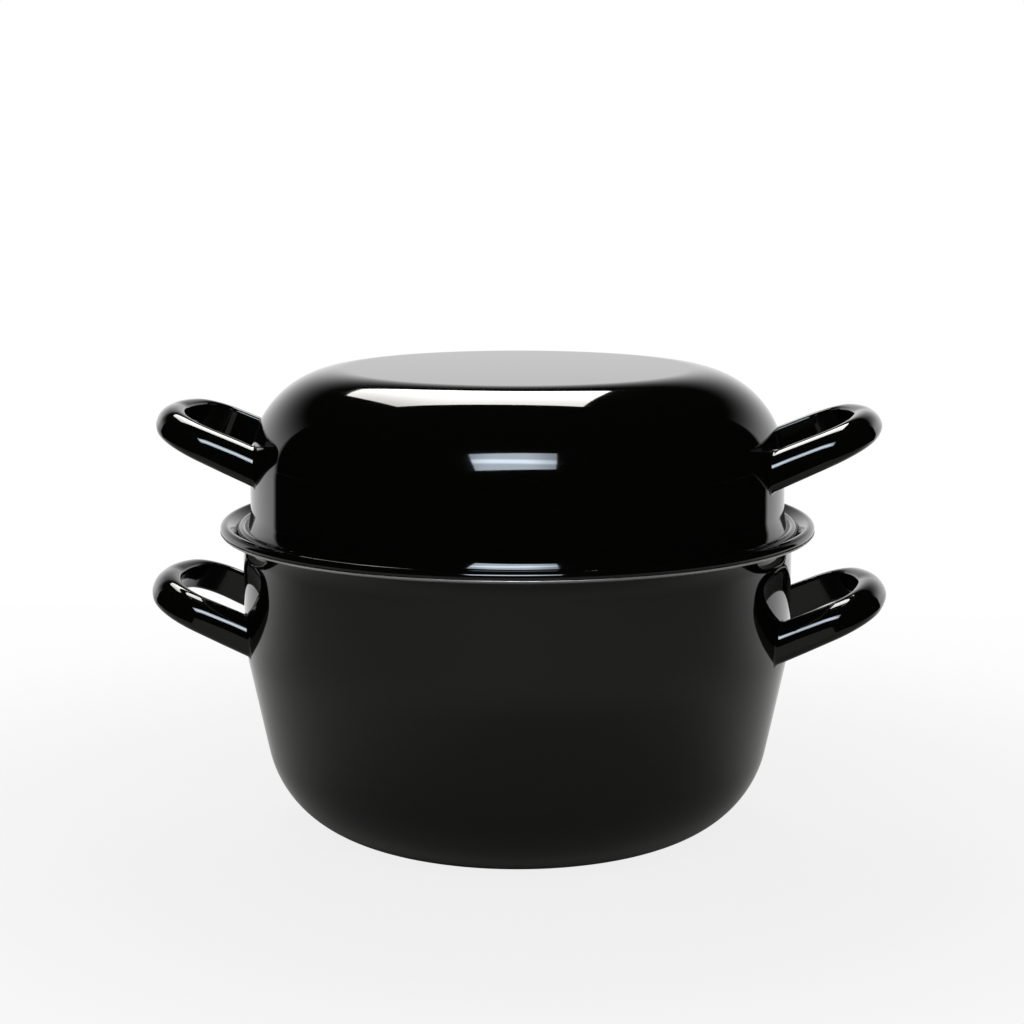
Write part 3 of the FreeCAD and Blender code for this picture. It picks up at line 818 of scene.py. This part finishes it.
        cloth = add_node(tree, "ShaderNodeBsdfDiffuse", {"Color": srgb(self.cloth_colour), "Roughness": 1.0})
        clear = add_node(tree, "ShaderNodeBsdfTransparent")
        mix = add_node(tree, "ShaderNodeMixShader", {
            0: cover.outputs[0], 1: clear.outputs["BSDF"], 2: cloth.outputs["BSDF"]})
        add_node(tree, "ShaderNodeOutputMaterial", {"Surface": mix.outputs["Shader"]})
        return material

    def build_room(self) -> None:
        """Hangs the cloth round the pot and overhead, and lays it round the paper."""
        bpy.ops.object.select_all(action="DESELECT")
        bpy.ops.mesh.primitive_uv_sphere_add(
            segments=96, ring_count=48, radius=self.room_radius, location=(0, 0, 0))
        room = bpy.context.object
        room.name = "cloth_walls"
        bpy.ops.object.mode_set(mode="EDIT")
        bpy.ops.mesh.select_all(action="SELECT")
        bpy.ops.mesh.bisect(plane_co=(0, 0, self.cloth_lift + MM), plane_no=(0, 0, -1), clear_outer=True)
        bpy.ops.object.mode_set(mode="OBJECT")
        self.only_for_gloss(room, self.dark_cloth("black_felt_hung", on_floor=False))
        bpy.ops.object.select_all(action="DESELECT")
        bpy.ops.mesh.primitive_circle_add(
            vertices=96, radius=self.room_radius, fill_type="NGON", location=(0, 0, self.cloth_lift))
        ground = bpy.context.object
        ground.name = "cloth_floor"
        self.only_for_gloss(ground, self.dark_cloth("black_felt_laid", on_floor=True))

    def add_panel(self, name: str, corners: list[tuple[float, float, float]],
                  material: bpy.types.Material) -> None:
        """Adds a flat panel that only reflections show.

        Args:
            name: the panel's name.
            corners: its corners in turn, in metres.
            material: what it is made of.
        """
        bpy.ops.object.select_all(action="DESELECT")
        bpy.ops.mesh.primitive_circle_add(
            vertices=len(corners), radius=1.0, fill_type="NGON", location=(0, 0, 0))
        panel = bpy.context.object
        panel.name = name
        for v, spot in zip(panel.data.vertices, corners):
            v.co = spot
        self.only_for_gloss(panel, material)

    def diffuser(self, name: str, colour: str, strength: float, tube: float) -> bpy.types.Material:
        """White diffuser cloth of a soft box, brighter along the lamp tube behind it.

        Args:
            name: the material's name.
            colour: its tint.
            strength: how bright it is.
            tube: how much brighter the line of the tube is.

        Returns:
            The material.
        """
        material, tree = blank_material(name)
        place = add_node(tree, "ShaderNodeTexCoord").outputs["Object"]
        apart = add_node(tree, "ShaderNodeSeparateXYZ", {"Vector": place})
        above = add_node(tree, "ShaderNodeMath", {
            0: apart.outputs["Z"], 1: self.tube_height}, operation="SUBTRACT")
        offset = add_node(tree, "ShaderNodeMath", {0: above.outputs[0]}, operation="ABSOLUTE")
        line = add_node(tree, "ShaderNodeMapRange", {
            "Value": offset.outputs[0], "From Min": 0.02, "From Max": 0.13, "To Min": strength + tube,
            "To Max": strength}, interpolation_type="SMOOTHERSTEP")
        # The cloth is brightest in the middle and dims towards its left and right ends
        outward = add_node(tree, "ShaderNodeMath", {0: apart.outputs["X"]}, operation="ABSOLUTE")
        fall = add_node(tree, "ShaderNodeMapRange", {
            "Value": outward.outputs[0], "From Min": 0.15, "From Max": 0.55, "To Min": 1.0,
            "To Max": 0.55}, interpolation_type="SMOOTHSTEP")
        level = add_node(tree, "ShaderNodeMath", {
            0: line.outputs["Result"], 1: fall.outputs["Result"]}, operation="MULTIPLY")
        glow = add_node(tree, "ShaderNodeEmission", {"Color": srgb(colour), "Strength": level.outputs[0]})
        add_node(tree, "ShaderNodeOutputMaterial", {"Surface": glow.outputs["Emission"]})
        return material

    def add_lamp(self, name: str, centre: tuple[float, float, float], size: tuple[float, float]) -> None:
        """Hangs the lamp of a soft box, which gives the soft light and the shadow.

        Args:
            name: the light's name.
            centre: where it hangs, in metres.
            size: its width and height.
        """
        lamp = bpy.data.lights.new(name, "AREA")
        lamp.shape = "RECTANGLE"
        lamp.size, lamp.size_y = size
        lamp.energy = self.lamp_watts
        holder = bpy.data.objects.new(name, lamp)
        bpy.context.scene.collection.objects.link(holder)
        holder.location = centre
        aim = Vector((0, 0, 0.1)) - Vector(centre)
        holder.rotation_euler = aim.to_track_quat("-Z", "Y").to_euler()
        holder.visible_camera = False
        holder.visible_glossy = False

    def build_soft_boxes(self) -> None:
        """Hangs both soft boxes: the bright cloth for the gloss, and the lamp for the light."""
        overhead = [(x, y, self.overhead_height) for x, y in self.overhead_corners]
        front = [(x, self.front_distance, z) for x, z in self.front_corners]
        self.add_panel("softbox_overhead", overhead,
                       self.diffuser("warm_white_diffuser", "#fffefa", strength=11.5, tube=0.0))
        self.add_panel("softbox_front", front,
                       self.diffuser("cool_white_diffuser", "#e4f1ff", strength=11.0, tube=11.0))
        self.add_lamp("lamp_overhead", (-0.19, 0.69, self.overhead_height), (0.68, 0.86))
        self.add_lamp("lamp_front", (0.07, self.front_distance, 1.13), (0.92, 0.66))

    def set_camera(self) -> None:
        """Puts the camera where the photograph was taken from."""
        lens = bpy.data.cameras.new("camera")
        lens.sensor_width = 36.0
        lens.lens = self.lens_mm
        lens.shift_x = self.lens_shift
        lens.clip_start = 0.05
        camera = bpy.data.objects.new("camera", lens)
        bpy.context.scene.collection.objects.link(camera)
        camera.location = self.camera_place
        camera.rotation_euler = (self.camera_pitch, 0, self.camera_turn)
        bpy.context.scene.camera = camera

    def build(self) -> None:
        """Sets up the whole studio."""
        self.set_world()
        self.build_floor()
        self.build_room()
        self.build_soft_boxes()
        self.set_camera()
        bpy.context.scene.view_settings.view_transform = "Standard"


def main() -> None:
    """Builds the pot, the lid and the handles, dresses them and sets up the studio."""
    logging.basicConfig(level=logging.INFO, format="%(name)s %(message)s")
    enamel = VitreousEnamel().make()
    steel = BrightSteel().make()
    pot = Pot()
    lid = Lid()
    pot_body = pot.build_body()
    lid_body = lid.build_body()
    dress(pot_body, enamel, "black_enamel", "pot_body")
    dress(pot.build_trim(), steel, "bright_trim", "pot_rim_trim")
    dress(lid_body, enamel, "black_enamel", "lid_body")
    for owner, body, wall, height in (("pot", pot_body, pot.neck, pot.handle_height),
                                      ("lid", lid_body, lid.wall, lid.lift + lid.handle_height)):
        handle = LoopHandle("%s_loop_right" % owner, wall, height)
        right = handle.build(body)
        left = handle.mirrored(right, "%s_loop_left" % owner)
        for side, piece in ((Side.RIGHT, right), (Side.LEFT, left)):
            dress(piece, enamel, "black_enamel", "%s_handle_%s" % (owner, side.name.lower()))
    Studio().build()


if __name__ == "__main__":
    main()
